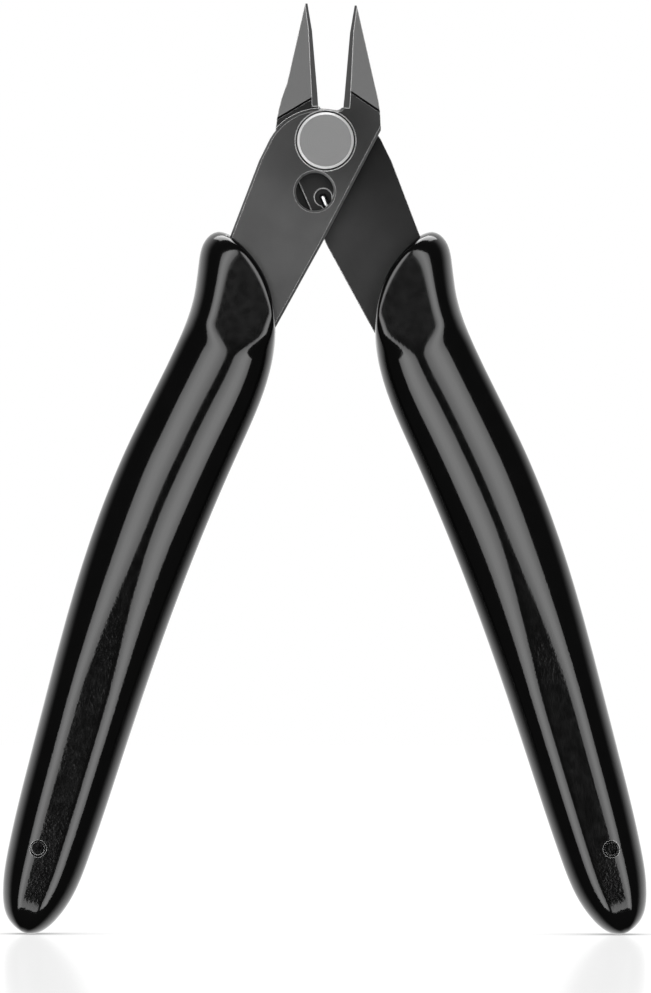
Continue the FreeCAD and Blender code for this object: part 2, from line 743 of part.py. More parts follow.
fill_sheet()
opening = size("half_opening")
front_lever = build_lever("front_lever", 1.0, -1, "_front", front_details)
front_lever.Placement = turned(False, opening)
back_lever = build_lever("back_lever", -1.0, 1, "_back", back_details)
back_lever.Placement = turned(True, -opening)
pivot_rivet = build_rivet()
pivot_rivet.Placement = turned(False, opening)
return_spring = build_spring()
return_spring.Placement = turned(True, -opening)
left_grip = build_grip("left_grip", "_front")
left_grip.Placement = turned(False, opening)
right_grip = build_grip("right_grip", "_back")
right_grip.Placement = turned(True, -opening)
export([front_lever, back_lever, pivot_rivet, return_spring, left_grip, right_grip])
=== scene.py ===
"""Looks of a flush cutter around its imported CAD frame: finer grips and spring, finishes, studio."""
import json
import math

import bmesh
import bpy
from mathutils import Matrix, Vector
from mathutils.bvhtree import BVHTree


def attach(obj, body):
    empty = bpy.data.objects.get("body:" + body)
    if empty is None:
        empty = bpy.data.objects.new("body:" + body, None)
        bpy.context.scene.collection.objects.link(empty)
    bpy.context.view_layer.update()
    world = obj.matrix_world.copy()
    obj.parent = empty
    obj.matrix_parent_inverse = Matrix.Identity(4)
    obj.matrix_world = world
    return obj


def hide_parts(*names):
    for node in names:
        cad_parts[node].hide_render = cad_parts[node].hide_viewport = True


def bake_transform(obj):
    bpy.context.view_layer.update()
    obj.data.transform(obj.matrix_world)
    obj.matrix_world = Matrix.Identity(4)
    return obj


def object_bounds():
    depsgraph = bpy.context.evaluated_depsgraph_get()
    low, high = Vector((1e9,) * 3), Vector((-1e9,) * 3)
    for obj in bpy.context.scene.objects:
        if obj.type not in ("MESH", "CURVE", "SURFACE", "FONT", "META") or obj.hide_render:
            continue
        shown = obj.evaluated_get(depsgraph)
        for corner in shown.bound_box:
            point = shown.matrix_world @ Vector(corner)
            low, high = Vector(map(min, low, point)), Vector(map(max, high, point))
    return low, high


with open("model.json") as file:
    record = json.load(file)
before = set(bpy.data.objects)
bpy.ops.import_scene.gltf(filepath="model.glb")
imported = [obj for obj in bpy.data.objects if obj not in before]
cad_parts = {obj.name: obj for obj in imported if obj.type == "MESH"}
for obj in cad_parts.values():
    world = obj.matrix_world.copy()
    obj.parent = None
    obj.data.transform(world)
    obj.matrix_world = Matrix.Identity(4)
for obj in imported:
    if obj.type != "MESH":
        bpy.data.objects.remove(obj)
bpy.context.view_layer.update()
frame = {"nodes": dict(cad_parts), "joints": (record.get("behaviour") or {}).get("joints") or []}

# One millimetre in metres. Sizes below are in millimetres, apart from the studio's, in metres.
MM = 0.001
# A length that counts as nothing.
TINY = 1e-6
HINGE = frame["joints"][0]
HALF_OPENING = math.radians(HINGE["range_deg"][1]) / 2.0
PIVOT = Vector(HINGE["pos_m"])
# Thickness of one lever's plate.
PLATE = 3.0


# ---------------------------------------------------------------- places and outlines

# CAD vertices closer than this are one vertex.
MERGE_DISTANCE = 1e-4


def to_world(side):
    """Matrix from the lever frame (metres) to the row frame; side -1 is the left handle."""
    turn = Matrix.Rotation(-side * HALF_OPENING, 4, "Y")
    if side > 0:
        turn = turn @ Matrix.Rotation(math.pi, 4, "Z")
    return Matrix.Translation(PIVOT) @ turn


def cad_in_lever_frame(node, side):
    """A copy of a CAD node's vertices and faces in the lever frame, in millimetres."""
    back = to_world(side).inverted()
    mesh = frame["nodes"][node].data
    points = [(back @ v.co) / MM for v in mesh.vertices]
    return points, [tuple(p.vertices) for p in mesh.polygons]


def slice_outline(points, faces, height):
    """The outline, as a closed list of (x, z), where a mesh crosses the plane y = height."""
    work = bmesh.new()
    verts = [work.verts.new(p) for p in points]
    for face in faces:
        try:
            work.faces.new([verts[i] for i in face])
        except ValueError:
            # The same face twice.
            continue
    bmesh.ops.remove_doubles(work, verts=work.verts, dist=MERGE_DISTANCE)
    geometry = list(work.verts) + list(work.edges) + list(work.faces)
    cut = bmesh.ops.bisect_plane(work, geom=geometry, plane_co=(0, height, 0), plane_no=(0, 1, 0),
                                 clear_inner=True, clear_outer=True)["geom_cut"]
    near = {}
    for edge in cut:
        if isinstance(edge, bmesh.types.BMEdge):
            a, b = edge.verts
            near.setdefault(a, []).append(b)
            near.setdefault(b, []).append(a)
    loops = []
    left = dict.fromkeys(near)
    while left:
        current = next(iter(left))
        loop = []
        while current is not None:
            del left[current]
            loop.append(current)
            current = next((v for v in near[current] if v in left), None)
        loops.append([(v.co.x, v.co.z) for v in loop])
    work.free()
    return max(loops, key=len)


# ---------------------------------------------------------------- small curve tools

class Path:
    """A polyline that can be asked for the point at a share of its length."""

    def __init__(self, points):
        self.points = [Vector((x, z)) for x, z in points]
        self.at = [0.0]
        for a, b in zip(self.points, self.points[1:]):
            self.at.append(self.at[-1] + (b - a).length)
        self.length = self.at[-1]

    def point(self, share):
        """The point that lies this share of the way along."""
        want = min(max(share, 0.0), 1.0) * self.length
        low, high = 0, len(self.at) - 1
        while high - low > 1:
            middle = (low + high) // 2
            if self.at[middle] <= want:
                low = middle
            else:
                high = middle
        span = self.at[high] - self.at[low]
        part = 0.0 if span < TINY else (want - self.at[low]) / span
        return self.points[low].lerp(self.points[high], part)


def smooth(low, high, value):
    """A soft step from 0 at low to 1 at high."""
    part = min(max((value - low) / (high - low), 0.0), 1.0)
    return part * part * (3.0 - 2.0 * part)


def ring_angles(count):
    """Angles evenly spaced all the way round."""
    return [2.0 * math.pi * index / count for index in range(count)]


def on_square(angle):
    """The point of the square of half side 1 that lies at an angle."""
    a, b = -math.cos(angle), -math.sin(angle)
    scale = 1.0 / max(abs(a), abs(b))
    return a * scale, b * scale


def crown(angle, level):
    """Height at an angle of an ellipse whose middle is level over a share of its width."""
    beyond = max(abs(math.cos(angle)) - level, 0.0) / (1.0 - level)
    return math.copysign(math.sqrt(max(1.0 - beyond * beyond, 0.0)), -math.sin(angle))


# ---------------------------------------------------------------- meshes

def join_rings(mesh, rings):
    """Rows of new vertices, one for each ring of points in millimetres, joined by quads."""
    rows = [[mesh.verts.new(point * MM) for point in ring] for ring in rings]
    for low, high in zip(rows, rows[1:]):
        for index in range(len(low)):
            after = (index + 1) % len(low)
            mesh.faces.new((low[index], low[after], high[after], high[index]))
    return rows


def close_row(mesh, row):
    """Close a row of vertices with triangles round its middle."""
    hub = mesh.verts.new(sum((v.co for v in row), Vector()) / len(row))
    for index in range(len(row)):
        mesh.faces.new((row[index], row[(index + 1) % len(row)], hub))


def make_object(mesh, name):
    """A linked object from a closed mesh, with its faces turned outward."""
    bmesh.ops.recalc_face_normals(mesh, faces=mesh.faces)
    data = bpy.data.meshes.new(name)
    mesh.to_mesh(data)
    mesh.free()
    made = bpy.data.objects.new(name, data)
    bpy.context.scene.collection.objects.link(made)
    return made


def soften(data, sharp_angle):
    """Smooth shading, apart from edges sharper than an angle."""
    for polygon in data.polygons:
        polygon.use_smooth = True
    data.set_sharp_from_angle(angle=sharp_angle)


# ---------------------------------------------------------------- grips

# Rings run across a grip from its end to its mouth, then round the lip and into the cavity. A
# station is the share of that way, from 0 at the end to 1 at the mouth.
RING_POINTS = 96
BODY_RINGS = 230
# How much closer together the rings are at the end than half way.
END_CROWDING = 0.25
LIP_RADIUS = 0.95
LIP_RINGS = 8
HALF_THICKNESS = 5.3
GRIP_SHARP = math.radians(35)

# Where the mouth meets the flank and the palm, to pick out those corners of the CAD outline.
MOUTH_CORNERS = ((-10.8, -14.25), (-2.05, -26.4))
# The share of the half thickness at which the CAD outline is taken.
OUTLINE_LEVEL = 0.75
# How far the lower grip leans, sideways over upwards, to pick out the point where it ends.
END_LEAN = 0.17

# The rings bow to the mouth's curve from this station on.
BOW_START = 0.72
BOW_POWER = 1.5
# A step along the stations that tells which way the grip runs.
STATION_STEP = 0.004

# The level share of a section: a little everywhere, more on the cap and on the lower grip.
LEVEL_LEAST = 0.03
LEVEL_CAP = 0.47
CAP_FADE = (-30.0, -26.0)
LEVEL_LOWER = 0.27
LOWER_FADE = (-52.0, -80.0)

# Thickness lost where fingers rest and further down, with the heights between which it fades.
WAIST_DEPTH = 0.3
WAIST_TOP = (-24.0, -36.0)
WAIST_FOOT = (-60.0, -42.0)
LOWER_THINNING = 0.35
THINNING_FADE = (-68.0, -98.0)
# The length over which the end rounds off.
END_ROUND = 7.0

# The cavity round the steel tang, with its stations.
FIT_GAP = 0.06
CAVITY_RINGS = 40
CAVITY_RIM = 0.9995
CAVITY_TOP = 0.992
CAVITY_LENGTH = 0.86
# Shares of a ring's width where a ray may meet the tang, and a start clear of the grip's face.
TANG_TRIES = (0.5, 0.45, 0.55, 0.4, 0.6)
RAY_START = 20.0

# The locator holes, in the lever frame.
LOCATOR = (-21.2, -97.7)
LOCATOR_RADIUS = 0.87
LOCATOR_RIM = 1.13
HOLE_POINTS = 40


def grip_curves(side, node):
    """Flank, palm and mouth curves of the CAD grip, each as a Path in the lever frame."""
    points, faces = cad_in_lever_frame(node, side)
    outline = slice_outline(points, faces, OUTLINE_LEVEL * HALF_THICKNESS)
    ends = [min(range(len(outline)), key=lambda i: math.dist(outline[i], corner))
            for corner in MOUTH_CORNERS]
    first, second = sorted(ends)
    one = outline[first:second + 1]
    two = outline[second:] + outline[:first + 1]
    mouth, rest = (one, two) if len(one) < len(two) else (two, one)
    if mouth[0][0] > mouth[-1][0]:
        mouth = mouth[::-1]
    if rest[0][0] > rest[-1][0]:
        rest = rest[::-1]
    end = min(range(len(rest)), key=lambda i: rest[i][1] + END_LEAN * rest[i][0])
    flank = rest[:end + 1][::-1]
    palm = rest[end:]
    return Path(flank), Path(palm), Path(mouth)


def level_share(height):
    """The share of a section's width that is level, at a height in the lever frame."""
    cap = LEVEL_CAP * smooth(*CAP_FADE, height)
    lower = LEVEL_LOWER * smooth(*LOWER_FADE, height)
    return LEVEL_LEAST + cap + lower


class GripShape:
    """The moulded sleeve's shape at every station from its end to its mouth."""

    def __init__(self, side, node):
        self.flank, self.palm, self.mouth = grip_curves(side, node)
        self.span = self.mouth.points[-1] - self.mouth.points[0]

    def across(self, u, v):
        """Point in plan, u from flank to palm and v from the end to the mouth."""
        left, right = self.flank.point(v), self.palm.point(v)
        chord = right - left
        bow = smooth(BOW_START, 1.0, v) ** BOW_POWER
        rise = self.mouth.point(u) - self.mouth.points[0].lerp(self.mouth.points[-1], u)
        turn = math.atan2(chord.y, chord.x) - math.atan2(self.span.y, self.span.x)
        rise = Matrix.Rotation(turn, 2) @ rise
        return left.lerp(right, u) + rise * (bow * chord.length / self.span.length)

    def half_height(self, v, height):
        """Half thickness: full at the mouth, waisted where fingers rest, thin at the end."""
        waist = WAIST_DEPTH * smooth(*WAIST_TOP, height) * smooth(*WAIST_FOOT, height)
        thick = HALF_THICKNESS - waist - LOWER_THINNING * smooth(*THINNING_FADE, height)
        end = min(v * self.flank.length / END_ROUND, 1.0)
        return thick * math.sqrt(max(1.0 - (1.0 - end) ** 2, 0.0))

    def ring(self, v, inset=0.0, lift=0.0):
        """One closed section, drawn in by inset and moved towards the jaws by lift."""
        width = (self.palm.point(v) - self.flank.point(v)).length
        points = []
        for angle in ring_angles(RING_POINTS):
            p = -math.cos(angle)
            u = 0.5 + 0.5 * p * (1.0 - 2.0 * inset / max(width, TINY))
            plan = self.across(u, v)
            thick = self.half_height(v, plan.y)
            y = crown(angle, level_share(plan.y)) * max(thick - inset, 0.0)
            if lift:
                ahead = self.across(u, min(v + STATION_STEP, 1.0))
                behind = self.across(u, v - STATION_STEP)
                plan = plan + (ahead - behind).normalized() * lift
            points.append(Vector((plan.x, y, plan.y)))
        return points


def tang_reach(tree, shape, v):
    """The u of both edges of the steel tang at a station, or None below the tang's end."""
    for u in TANG_TRIES:
        plan = shape.across(u, v)
        origin = Vector((plan.x, -PLATE / 2.0, plan.y))
        above = origin + Vector((0, RAY_START, 0))
        if tree.ray_cast(above, Vector((0, -1, 0)))[0] is not None:
            break
    else:
        return None
    chord = shape.across(1.0, v) - shape.across(0.0, v)
    along = Vector((chord.x, 0, chord.y)).normalized()
    reach = []
    for sign in (-1.0, 1.0):
        hit = tree.ray_cast(origin, along * sign)
        if hit[0] is None:
            return None
        reach.append(u + sign * ((hit[0] - origin).length + FIT_GAP) / chord.length)
    return reach


def cavity_ring(shape, v, reach):
    """The rectangle round the tang at a station, point for point like the outer ring."""
    low, high = reach
    points = []
    for angle in ring_angles(RING_POINTS):
        a, b = on_square(angle)
        u = (low + high) / 2.0 + a * (high - low) / 2.0
        plan = shape.across(u, v)
        y = -PLATE / 2.0 + b * (PLATE / 2.0 + FIT_GAP)
        points.append(Vector((plan.x, y, plan.y)))
    return points


def revolve(name, profile, centre):
    """A closed mesh object from (radius, y) pairs turned about the centre's line along y."""
    rings = []
    for radius, y in profile:
        ring = []
        for angle in ring_angles(HOLE_POINTS):
            x = centre[0] + radius * math.cos(angle)
            z = centre[1] + radius * math.sin(angle)
            ring.append(Vector((x, y, z)))
        rings.append(ring)
    mesh = bmesh.new()
    rows = join_rings(mesh, rings)
    mesh.faces.new(rows[0])
    mesh.faces.new(rows[-1])
    return make_object(mesh, name)


def cut_locators(grip):
    """Countersunk holes in both faces near the grip's end, down to the tang inside."""
    tree = BVHTree.FromPolygons([v.co / MM for v in grip.data.vertices],
                                [tuple(p.vertices) for p in grip.data.polygons])
    x, z = LOCATOR
    for facing, floor in ((-1.0, -PLATE), (1.0, 0.0)):
        start = Vector((x, facing * RAY_START, z))
        surface = tree.ray_cast(start, Vector((0, -facing, 0)))[0].y
        neck = surface - facing * (LOCATOR_RIM - LOCATOR_RADIUS)
        above = surface + facing * LOCATOR_RADIUS
        wide = LOCATOR_RADIUS + abs(above - neck)
        profile = [(LOCATOR_RADIUS, floor), (LOCATOR_RADIUS, neck), (wide, above)]
        cutter = revolve("locator_cutter", profile, LOCATOR)
        cut = grip.modifiers.new("locator", "BOOLEAN")
        cut.operation = "DIFFERENCE"
        cut.solver = "EXACT"
        cut.object = cutter
        bpy.context.view_layer.update()
        evaluated = grip.evaluated_get(bpy.context.evaluated_depsgraph_get())
        drilled = bpy.data.meshes.new_from_object(evaluated)
        grip.modifiers.clear()
        grip.data = drilled
        bpy.data.objects.remove(cutter)


def build_grip(name, side, lever, body):
    """One moulded sleeve as a closed mesh, replacing the plain CAD solid."""
    shape = GripShape(side, name)
    points, faces = cad_in_lever_frame(lever, side)
    tree = BVHTree.FromPolygons(points, faces)
    rings = []
    lip_v = 1.0 - LIP_RADIUS / shape.palm.length
    for index in range(1, BODY_RINGS + 1):
        share = index / BODY_RINGS
        spread = (1.0 - END_CROWDING) * share + END_CROWDING * share * share
        rings.append(shape.ring(lip_v * spread))
    for index in range(1, LIP_RINGS + 1):
        angle = 0.5 * math.pi * index / LIP_RINGS
        inset = LIP_RADIUS * (1.0 - math.cos(angle))
        rings.append(shape.ring(lip_v, inset, LIP_RADIUS * math.sin(angle)))
    rings.append(cavity_ring(shape, CAVITY_RIM, tang_reach(tree, shape, CAVITY_TOP)))
    for index in range(1, CAVITY_RINGS + 1):
        v = CAVITY_TOP - CAVITY_LENGTH * index / CAVITY_RINGS
        reach = tang_reach(tree, shape, v)
        if reach is None:
            break
        rings.append(cavity_ring(shape, v, reach))
    mesh = bmesh.new()
    rows = join_rings(mesh, rings)
    close_row(mesh, rows[0])
    close_row(mesh, rows[-1])
    grip = make_object(mesh, name + "_moulded")
    cut_locators(grip)
    grip.data.transform(to_world(side))
    soften(grip.data, GRIP_SHARP)
    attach(grip, body)
    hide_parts(name)
    return grip


left_grip = build_grip("left_grip", -1, "front_lever", "front_half")
right_grip = build_grip("right_grip", 1, "back_lever", "back_half")


# ---------------------------------------------------------------- return spring

WIRE_RADIUS = 0.5
WIRE_POINTS = 20
WIRE_SHARP = math.radians(50)
TIP_STEPS = 6
# The y of the coil's plane and of the tail's end, and the radius of the bend between them.
WIRE_DEPTH = -0.62
TAIL_TOP = 1.3
TAIL_BEND = 0.6
BEND_STEPS = 8
COIL_RADIUS = 2.9
COIL_START = math.radians(-15)
# The leg goes round the window and ends in a small hook.
WINDOW = Vector((2.52, -6.34))
LEG_RADIUS = 3.1
LEG_END = math.radians(222)
HOOK_RADIUS = 0.65
WIRE_TIP = Vector((1.54, -7.19))
ARC_STEP = math.radians(4)


def toward(angle):
    """The flat direction that lies at an angle."""
    return Vector((math.cos(angle), math.sin(angle)))


def arc(centre, radius, first, last):
    """Points along an arc, from one angle to the other."""
    count = max(int(abs(last - first) / ARC_STEP), 3)
    return [centre + toward(first + (last - first) * i / count) * radius for i in range(count + 1)]


def spring_line():
    """Centre line of the spring in the back lever's frame: tail, coil, leg and hooked end."""
    lean = (COIL_RADIUS - LEG_RADIUS) / WINDOW.length
    along = WINDOW.normalized()
    outward = Vector((along.y, -along.x)) * math.sqrt(1.0 - lean * lean) + along * lean
    turn = math.atan2(outward.y, outward.x) % (2.0 * math.pi)
    on_coil = toward(COIL_START) * COIL_RADIUS
    heading = toward(COIL_START + math.pi / 2)
    line = [Vector((*(on_coil - heading * TAIL_BEND), TAIL_TOP))]
    for index in range(BEND_STEPS + 1):
        angle = math.pi / 2 * index / BEND_STEPS
        flat = on_coil - heading * TAIL_BEND * math.cos(angle)
        line.append(Vector((*flat, WIRE_DEPTH + TAIL_BEND * (1.0 - math.sin(angle)))))
    hook_middle = WINDOW + toward(LEG_END) * (LEG_RADIUS - HOOK_RADIUS)
    to_tip = WIRE_TIP - hook_middle
    hook_end = math.atan2(to_tip.y, to_tip.x) - math.acos(HOOK_RADIUS / to_tip.length)
    flat = arc(Vector((0, 0)), COIL_RADIUS, COIL_START, turn)[1:]
    flat += arc(WINDOW, LEG_RADIUS, turn, LEG_END)
    flat += arc(hook_middle, HOOK_RADIUS, LEG_END, hook_end % (2.0 * math.pi))[1:]
    flat.append(WIRE_TIP)
    line += [Vector((*point, WIRE_DEPTH)) for point in flat]
    return [Vector((x, y, z)) for x, z, y in line]


def build_spring(name):
    """The spring's wire swept along its line, with a rounded tip."""
    line = spring_line()
    headings = [(b - a).normalized() for a, b in zip(line, line[1:])]
    headings.append(headings[-1])
    side = headings[0].orthogonal().normalized()
    sections = []
    for index, point in enumerate(line):
        heading = (headings[max(index - 1, 0)] + headings[index]).normalized()
        side = (side - heading * side.dot(heading)).normalized()
        sections.append((point, heading, side, WIRE_RADIUS))
    for index in range(1, TIP_STEPS):
        angle = math.pi / 2 * index / TIP_STEPS
        ahead = point + heading * WIRE_RADIUS * math.sin(angle)
        sections.append((ahead, heading, side, WIRE_RADIUS * math.cos(angle)))
    rings = []
    for point, heading, side, radius in sections:
        other = heading.cross(side)
        ring = []
        for angle in ring_angles(WIRE_POINTS):
            around = side * math.cos(angle) + other * math.sin(angle)
            ring.append(point + around * radius)
        rings.append(ring)
    mesh = bmesh.new()
    rows = join_rings(mesh, rings)
    mesh.faces.new(rows[0])
    mesh.faces.new(rows[-1])
    spring = make_object(mesh, name + "_wound")
    spring.data.transform(to_world(1))
    soften(spring.data, WIRE_SHARP)
    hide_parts(name)
    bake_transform(spring)
    return spring


return_spring = build_spring("return_spring")


# ---------------------------------------------------------------- finishes

# Nearly all of a noise lies between these.
NOISE_SPAN = (0.3, 0.7)
# Less sharp than this, a bend isn't an edge.
EDGE_LEAST = 0.02


def grey(value):
    """A colour without a hue."""
    return (value, value, value, 1.0)


class Nodes:
    """A node tree with short calls for the nodes that finishes, sky and lights share."""

    def __init__(self, tree):
        self.tree = tree

    def node(self, kind, **settings):
        """A new node with some of its settings made."""
        made = self.tree.nodes.new(kind)
        for key, value in settings.items():
            setattr(made, key, value)
        return made

    def link(self, source, target):
        """Join an output socket to an input socket."""
        self.tree.links.new(source, target)

    def feed(self, target, value):
        """Link a socket, or set a plain value."""
        if isinstance(value, bpy.types.NodeSocket):
            self.link(value, target)
        else:
            target.default_value = value

    def part(self, vector, axis):
        """One part of a vector: X, Y or Z."""
        node = self.node("ShaderNodeSeparateXYZ")
        self.link(vector, node.inputs[0])
        return node.outputs[axis]

    def vector(self, operation, first, second=(0.0, 0.0, 0.0), result="Vector"):
        """Vector arithmetic. LENGTH and DOT_PRODUCT give their result as Value."""
        node = self.node("ShaderNodeVectorMath", operation=operation)
        self.feed(node.inputs[0], first)
        self.feed(node.inputs[1], second)
        return node.outputs[result]

    def math(self, operation, first, second=0.0, clamp=False):
        """Plain arithmetic on sockets or numbers, held to 0 to 1 if clamped."""
        node = self.node("ShaderNodeMath", operation=operation, use_clamp=clamp)
        self.feed(node.inputs[0], first)
        self.feed(node.inputs[1], second)
        return node.outputs[0]

    def remap(self, value, span, result, kind="SMOOTHSTEP"):
        """Carry a value from one span over to another, held at both ends."""
        node = self.node("ShaderNodeMapRange", interpolation_type=kind)
        self.link(value, node.inputs["Value"])
        for key, number in zip(("From Min", "From Max", "To Min", "To Max"), span + result):
            node.inputs[key].default_value = number
        return node.outputs["Result"]


class Finish(Nodes):
    """A material in nodes, for a piece whose own space is the row frame at rest."""

    def __init__(self, name):
        self.material = bpy.data.materials.new(name)
        self.material.use_nodes = True
        super().__init__(self.material.node_tree)
        self.tree.nodes.clear()
        self.output = self.node("ShaderNodeOutputMaterial")
        self.surface = self.node("ShaderNodeBsdfPrincipled")
        self.link(self.surface.outputs[0], self.output.inputs["Surface"])

    def set(self, **inputs):
        """Feed inputs of the surface, named with _ for a space."""
        for key, value in inputs.items():
            self.feed(self.surface.inputs[key.replace("_", " ")], value)

    def place(self):
        """Position in the piece's own space, in millimetres."""
        coordinates = self.node("ShaderNodeTexCoord")
        return self.vector("MULTIPLY", coordinates.outputs["Object"], (1.0 / MM,) * 3)

    def noise(self, vector, scale, detail=3.0, rough=0.5):
        """Soft random values about 0.5."""
        node = self.node("ShaderNodeTexNoise")
        self.link(vector, node.inputs["Vector"])
        node.inputs["Scale"].default_value = scale
        node.inputs["Detail"].default_value = detail
        node.inputs["Roughness"].default_value = rough
        return node.outputs["Fac"]

    def mix(self, share, first, second):
        """Two colours mixed. The node's colour sockets are 6 and 7, and 2 on the way out."""
        node = self.node("ShaderNodeMix", data_type="RGBA")
        self.feed(node.inputs["Factor"], share)
        self.feed(node.inputs[6], first)
        self.feed(node.inputs[7], second)
        return node.outputs[2]

    def bump(self, height, strength, distance, normal=None):
        """A normal tilted by a height, up to a distance in millimetres."""
        node = self.node("ShaderNodeBump")
        node.inputs["Strength"].default_value = strength
        node.inputs["Distance"].default_value = distance * MM
        self.link(height, node.inputs["Height"])
        if normal is not None:
            self.link(normal, node.inputs["Normal"])
        return node.outputs[0]

    def facing(self):
        """How squarely a face looks along the rivet's axis, 0 to 1, in the piece's own space."""
        geometry = self.node("ShaderNodeNewGeometry")
        local = self.node("ShaderNodeVectorTransform", vector_type="NORMAL",
                          convert_from="WORLD", convert_to="OBJECT")
        self.link(geometry.outputs["True Normal"], local.inputs[0])
        return self.math("ABSOLUTE", self.part(local.outputs[0], "Y"))

    def between(self, value, low, high, soft):
        """1 where a value lies between two limits, 0 outside them."""
        return self.math("MULTIPLY", self.remap(value, (low - soft, low), (0.0, 1.0)),
                         self.remap(value, (high, high + soft), (1.0, 0.0)))

    def edges(self, radius, sharp):
        """1 within a radius, in millimetres, of an edge at least as sharp as asked, else 0."""
        bevel = self.node("ShaderNodeBevel", samples=6)
        bevel.inputs["Radius"].default_value = radius * MM
        geometry = self.node("ShaderNodeNewGeometry")
        turned = self.vector("DOT_PRODUCT", bevel.outputs[0], geometry.outputs["Normal"], "Value")
        return self.remap(self.math("SUBTRACT", 1.0, turned), (EDGE_LEAST, sharp), (0.0, 1.0))


# Heights, at rest, between which the orange peel fades upwards and the caps turn less glossy.
PEEL_FADE = (38.0, 60.0)
CAP_GLOSS_FADE = (75.0, 80.0)

# Tones of steel, as shares of the light that comes back.
FRONT_PLATE = 0.047
# The back plate is the same blackened steel as the front, darkened as painted shade.
BACK_PLATE_SHADED = 0.021
JAW_FACET = 0.085
# Bare metal where edges are worn, also used as a painted highlight on chamfer faces.
WORN_AND_HIGHLIT_STEEL = grey(0.62)
# Spans of facing() on ground jaw faces, which slope a little or lean a lot, and on chamfers.
SLOPING = (0.95, 0.9975)
LEANING = (0.1, 0.2)
CHAMFER = (0.69, 0.725)
# Painted shade: the plates are darker round the rivet, and up to the right of it.
SHADE_SPAN = (4.0, 13.0)
SHADE_SIDE = (0.8, 0.0, 0.6)
SHADE_SIDE_SPAN = (-5.0, 5.0)
# How fine the grinding grain is along x, y and z.
GRAIN = (9.0, 9.0, 1.2)


def grip_finish():
    """Glossy black moulded plastic with a light orange peel, and a painted highlight along its sharp
    edges.
    """
    finish = Finish("glossy_black_plastic")
    place = finish.place()
    height = finish.part(place, "Z")
    wave = finish.noise(place, scale=0.16, detail=2.0)
    broad = finish.bump(wave, strength=0.02, distance=0.6)
    peel = finish.noise(place, scale=2.6, detail=2.0, rough=0.55)
    patch = finish.remap(finish.noise(place, scale=0.08, detail=1.0), (0.4, 0.62), (0.3, 1.0))
    patch = finish.math("MULTIPLY", patch, finish.remap(height, PEEL_FADE, (1.0, 0.12)))
    relief = finish.math("MULTIPLY", peel, patch)
    smear = finish.remap(finish.noise(place, scale=0.9, detail=4.0), NOISE_SPAN, (0.06, 0.09))
    cap = finish.remap(height, CAP_GLOSS_FADE, (0.0, 0.05))
    black = finish.mix(finish.noise(place, scale=0.4), grey(0.0018), grey(0.003))
    # Painted highlight: sharp edges, such as the mouth's lip and the holes' rims, are lightened to
    # grey.
    painted_edge_highlight = finish.edges(radius=0.16, sharp=0.12)
    finish.set(
        Base_Color=finish.mix(painted_edge_highlight, black, grey(0.7)),
        Roughness=finish.math("ADD", smear, cap),
        Normal=finish.bump(relief, strength=0.08, distance=0.1, normal=broad),
        IOR=1.5,
    )
    return finish.material


def steel_finish(name, dark, facet):
    """Blackened steel plate, worn to bright metal along its edges, with a painted highlight on its
    chamfers, painted shade round the rivet, and bare ground jaw faces.
    """
    finish = Finish(name)
    place = finish.place()
    facing = finish.facing()
    leaning = finish.between(facing, *LEANING, soft=0.05)
    ground = finish.math("ADD", finish.between(facing, *SLOPING, soft=0.002), leaning, clamp=True)
    from_pivot = finish.vector("SUBTRACT", place, PIVOT / MM)
    spread = finish.vector("LENGTH", from_pivot, result="Value")
    aside = finish.vector("DOT_PRODUCT", from_pivot, SHADE_SIDE, "Value")
    # Painted shade, darker near the rivet and up to its right, later multiplied by a random tone.
    painted_shade = finish.math("MULTIPLY", finish.remap(spread, SHADE_SPAN, (0.65, 1.0)),
                          finish.remap(aside, SHADE_SIDE_SPAN, (1.0, 0.6)))
    grain = finish.noise(finish.vector("MULTIPLY", place, GRAIN), scale=1.0, detail=5.0, rough=0.65)
    fine = finish.noise(place, scale=14.0, rough=0.6)
    cloud = finish.remap(finish.noise(place, scale=0.22), NOISE_SPAN, (0.93 * dark, 1.07 * dark))
    shade = finish.math("MULTIPLY", painted_shade, cloud)
    base = finish.node("ShaderNodeCombineColor")
    for channel in ("Red", "Green", "Blue"):
        finish.link(shade, base.inputs[channel])
    face = finish.mix(grain, grey(facet * 0.85), grey(facet * 1.15))
    colour = finish.mix(ground, base.outputs[0], face)
    # Painted highlight: chamfer faces get half the bare-metal tone. Sharp edges get it in full as
    # wear.
    chamfer_highlight = finish.math("MULTIPLY", finish.between(facing, *CHAMFER, soft=0.01), 0.5)
    sharp = finish.math("MAXIMUM", finish.edges(radius=0.2, sharp=0.14), chamfer_highlight)
    worn_and_highlit = finish.math("MULTIPLY", sharp, finish.remap(fine, NOISE_SPAN, (0.55, 0.9)))
    # The leaning faces are seen at a grazing angle, where full mirroring would be too bright.
    matt = finish.math("SUBTRACT", leaning, sharp, clamp=True)
    finish.set(
        Base_Color=finish.mix(worn_and_highlit, colour, WORN_AND_HIGHLIT_STEEL),
        Metallic=finish.remap(worn_and_highlit, (0.0, 1.0), (1.0, 0.4)),
        Roughness=finish.remap(grain, (0.25, 0.75), (0.34, 0.44)),
        Specular_Tint=finish.mix(matt, grey(1.0), grey(0.35)),
        Normal=finish.bump(finish.math("ADD", grain, fine), strength=0.05, distance=0.05),
    )
    return finish.material


